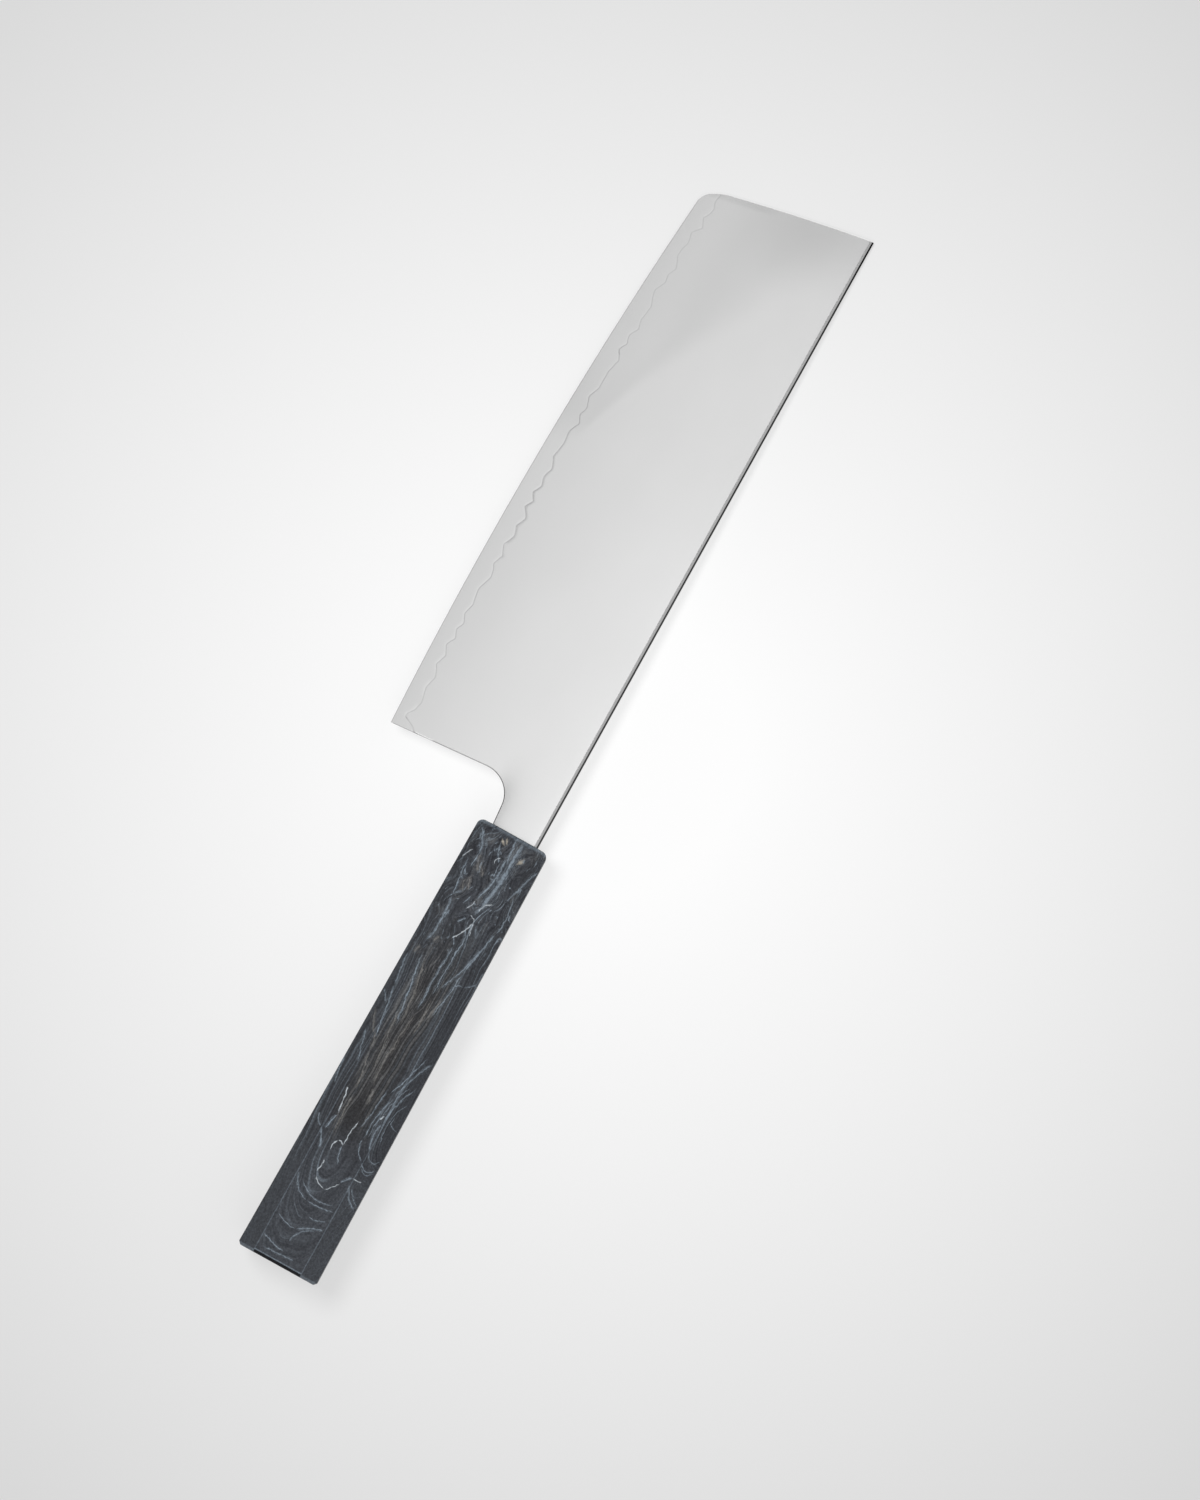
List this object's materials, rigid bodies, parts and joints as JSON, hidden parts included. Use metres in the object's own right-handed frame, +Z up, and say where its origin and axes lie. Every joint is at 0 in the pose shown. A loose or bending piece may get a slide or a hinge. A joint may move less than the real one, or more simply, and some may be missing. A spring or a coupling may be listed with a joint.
{
  "type": "nakiri knife",
  "caption": "Vegetable knife with a tall square-ended laminated steel blade, whose stick tang is glued into a tapered eight-sided handle of dark marbled plastic.",
  "frame": {"origin": "centre of the knife's box, on the table that the knife lies on", "axes": "+X from the butt to the tip, +Y from the spine to the cutting edge, +Z up. The knife lies as it rests: the blade slopes down to the tip by about 2.5 degrees and is rolled by about 1 degree"},
  "size_m": [0.321, 0.0574, 0.025],
  "materials": {
    "core_steel": "fine satin, ground across the blade",
    "cladding_steel": "soft satin, nearly matt",
    "marbled_plastic": "semi-matt, slate with blue-grey, brown and off-white swirls",
    "adhesive": "cured, glossy",
    "sealant": "matt"
  },
  "bodies": {
    "root": {"core_steel": "core_steel", "cladding_right": "cladding_steel", "cladding_left": "cladding_steel", "handle_body": "marbled_plastic", "tang_adhesive": "adhesive", "neck_seal": "sealant"}
  },
  "joints": []
}
